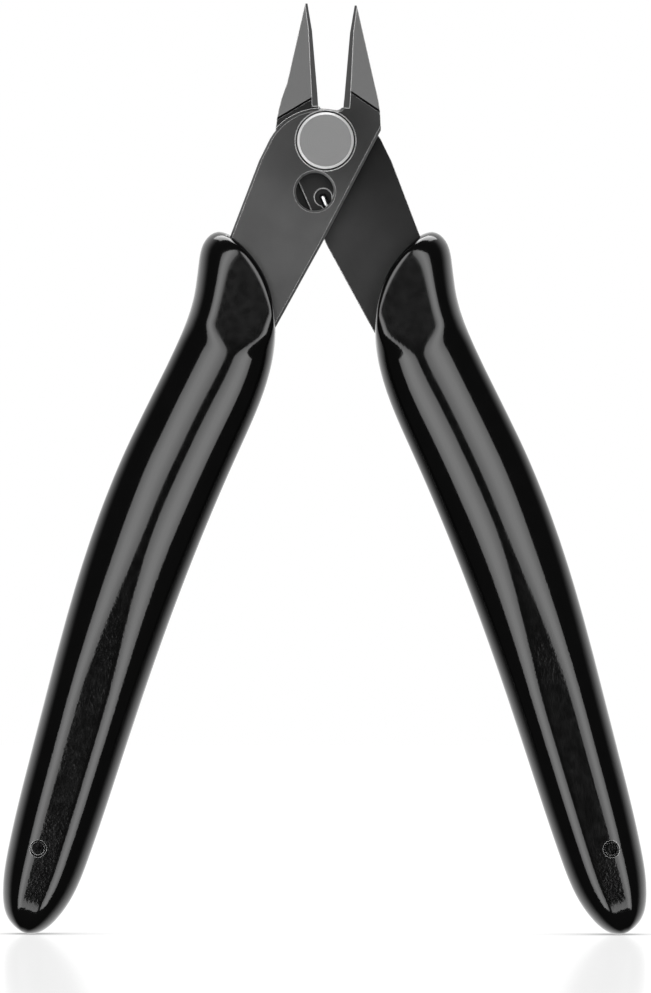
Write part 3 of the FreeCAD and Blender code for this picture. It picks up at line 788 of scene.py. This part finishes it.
def rivet_finish():
    """Satin turned steel with faint circular tool marks, and a painted highlight on its chamfered rim.
    """
    finish = Finish("satin_rivet_steel")
    place = finish.place()
    flat = finish.vector("MULTIPLY", finish.vector("SUBTRACT", place, PIVOT / MM), (1.0, 0.0, 1.0))
    rings = finish.node("ShaderNodeTexNoise", noise_dimensions="1D")
    finish.link(finish.vector("LENGTH", flat, result="Value"), rings.inputs["W"])
    rings.inputs["Scale"].default_value = 7.0
    rings.inputs["Detail"].default_value = 4.0
    marks = rings.outputs["Fac"]
    fine = finish.noise(place, scale=16.0, rough=0.6)
    # Painted highlight: the chamfered rim is given a light, less metallic tone.
    painted_rim_highlight = finish.between(finish.facing(), 0.4, 0.9, soft=0.05)
    tone = finish.mix(marks, grey(0.118), grey(0.142))
    finish.set(
        Base_Color=finish.mix(painted_rim_highlight, tone, grey(0.7)),
        Metallic=finish.remap(painted_rim_highlight, (0.0, 1.0), (1.0, 0.3)),
        Roughness=finish.remap(fine, NOISE_SPAN, (0.30, 0.40)),
        Normal=finish.bump(finish.math("ADD", marks, fine), strength=0.06, distance=0.04),
    )
    return finish.material


def wire_finish():
    """Bright drawn spring wire."""
    finish = Finish("spring_wire_steel")
    fine = finish.noise(finish.place(), scale=9.0, detail=4.0, rough=0.6)
    finish.set(
        Base_Color=finish.mix(fine, grey(0.36), grey(0.46)),
        Metallic=1.0,
        Roughness=finish.remap(fine, NOISE_SPAN, (0.2, 0.3)),
        Normal=finish.bump(fine, strength=0.05, distance=0.03),
    )
    return finish.material


def dress(piece, material):
    """Give every slot of a piece one finish."""
    piece.data.materials.clear()
    piece.data.materials.append(material)


black_plastic = grip_finish()
dress(left_grip, black_plastic)
dress(right_grip, black_plastic)
dress(frame["nodes"]["front_lever"], steel_finish("blackened_steel_front", FRONT_PLATE, JAW_FACET))
dress(frame["nodes"]["back_lever"], steel_finish("blackened_steel_back", BACK_PLATE_SHADED, JAW_FACET))
dress(frame["nodes"]["pivot_rivet"], rivet_finish())
dress(return_spring, wire_finish())


# ---------------------------------------------------------------- studio, in metres

FLOOR_HALF = 1.5
# How near the tool is to the floor where the painted contact shadow starts.
CONTACT_REACH = 0.022
MIRROR_SHARE = 0.2
MIRROR_ROUGHNESS = 0.1
CAMERA_DISTANCE = 2.0
CAMERA_ROLL = math.radians(-0.06)
SENSOR_WIDTH = 36.0
# The picture's height over the tool's, and where its middle lies from the tool's.
FRAME_HEIGHT = 1.0665
FRAME_OFFSET = Vector((0.00005, 0, -0.00367))


def floor_finish():
    """White sweep: a painted contact shadow where the tool touches it and a faint mirror image."""
    finish = Finish("pale_floor")
    contact = finish.node("ShaderNodeAmbientOcclusion", samples=16)
    contact.inputs["Distance"].default_value = CONTACT_REACH
    # Painted contact shadow: the floor's glow is dimmed where the tool occludes it.
    shade = finish.remap(contact.outputs["AO"], (0.1, 0.95), (0.3, 1.08))
    bright = finish.node("ShaderNodeEmission")
    finish.link(shade, bright.inputs["Strength"])
    gloss = finish.node("ShaderNodeBsdfGlossy")
    gloss.inputs["Color"].default_value = grey(1.0)
    gloss.inputs["Roughness"].default_value = MIRROR_ROUGHNESS
    mirror = finish.node("ShaderNodeMixShader")
    mirror.inputs[0].default_value = MIRROR_SHARE
    finish.link(bright.outputs[0], mirror.inputs[1])
    finish.link(gloss.outputs[0], mirror.inputs[2])
    open_air = finish.node("ShaderNodeBsdfTransparent")
    rays = finish.node("ShaderNodeLightPath")
    seen = finish.node("ShaderNodeMixShader")
    finish.link(rays.outputs["Is Camera Ray"], seen.inputs[0])
    finish.link(open_air.outputs[0], seen.inputs[1])
    finish.link(mirror.outputs[0], seen.inputs[2])
    finish.link(seen.outputs[0], finish.output.inputs["Surface"])
    return finish.material


def build_floor(height):
    """A pale level floor under the grips' ends."""
    data = bpy.data.meshes.new("floor")
    corners = [(x * FLOOR_HALF, y * FLOOR_HALF, height)
               for x, y in ((-1, -1), (1, -1), (1, 1), (-1, 1))]
    data.from_pydata(corners, [], [(0, 1, 2, 3)])
    floor = bpy.data.objects.new("floor", data)
    bpy.context.scene.collection.objects.link(floor)
    data.materials.append(floor_finish())


def build_world():
    """White to the camera and behind the tool, nearly black in front of it."""
    world = bpy.data.worlds.new("studio")
    bpy.context.scene.world = world
    world.use_nodes = True
    sky = Nodes(world.node_tree)
    sky.tree.nodes.clear()
    direction = sky.node("ShaderNodeTexCoord").outputs["Generated"]
    behind = sky.remap(sky.part(direction, "Y"), (0.1, 0.7), (0.03, 1.0))
    rays = sky.node("ShaderNodeLightPath")
    background = sky.node("ShaderNodeBackground")
    background.inputs["Color"].default_value = grey(1.0)
    sky.link(sky.math("MAXIMUM", rays.outputs["Is Camera Ray"], behind), background.inputs["Strength"])
    output = sky.node("ShaderNodeOutputWorld")
    sky.link(background.outputs[0], output.inputs[0])


def shape_glow(data):
    """Let a softbox fall off a little from its middle to its sides."""
    data.use_nodes = True
    lamp = Nodes(data.node_tree)
    across = lamp.part(lamp.node("ShaderNodeNewGeometry").outputs["Parametric"], "X")
    aside = lamp.math("ABSOLUTE", lamp.math("SUBTRACT", across, 0.5))
    glow = lamp.remap(aside, (0.1, 0.5), (1.3, 0.72), kind="LINEAR")
    lamp.link(glow, lamp.tree.nodes["Emission"].inputs["Strength"])


def add_softbox(name, place, aim, size, watts, lit_pieces):
    """A rectangular area light aimed at a point, that lights only some pieces."""
    data = bpy.data.lights.new(name, "AREA")
    data.shape = "RECTANGLE"
    data.size, data.size_y = size
    data.energy = watts
    shape_glow(data)
    light = bpy.data.objects.new(name, data)
    light.location = place
    light.rotation_euler = (aim - place).to_track_quat("-Z", "Y").to_euler()
    bpy.context.scene.collection.objects.link(light)
    lit = bpy.data.collections.new(name + "_lights")
    for piece in lit_pieces:
        lit.objects.link(piece)
    light.light_linking.receiver_collection = lit


def add_camera(centre, tall):
    """A long lens straight in front, framing the given height."""
    data = bpy.data.cameras.new("front_camera")
    data.sensor_width = SENSOR_WIDTH
    data.lens = SENSOR_WIDTH * CAMERA_DISTANCE / tall
    camera = bpy.data.objects.new("front_camera", data)
    camera.location = centre + Vector((0, -CAMERA_DISTANCE, 0))
    camera.rotation_euler = (math.radians(90), CAMERA_ROLL, 0)
    bpy.context.scene.collection.objects.link(camera)
    bpy.context.scene.camera = camera


low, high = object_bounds()
middle = (low + high) / 2
build_floor(low.z)
build_world()
steel = [frame["nodes"][name] for name in ("front_lever", "back_lever", "pivot_rivet")]
tool = steel + [left_grip, right_grip, return_spring]
for name, aside in (("strip_left", -0.43), ("strip_right", 0.43)):
    strip_place = middle + Vector((aside, -0.95, 0.05))
    add_softbox(name, strip_place, middle, size=(0.76, 1.0), watts=8.0, lit_pieces=tool)
top_place = middle + Vector((0, 0.25, 0.6))
add_softbox("top", top_place, middle, size=(0.9, 0.4), watts=6.0, lit_pieces=tool)
glint_place = middle + Vector((-0.6, -0.6, -0.45))
add_softbox("edge_glint", glint_place, PIVOT, size=(0.3, 0.3), watts=5.0, lit_pieces=steel)
add_camera(middle + FRAME_OFFSET, (high.z - low.z) * FRAME_HEIGHT)
scene = bpy.context.scene
scene.view_settings.view_transform = "Standard"
scene.view_settings.look = "None"
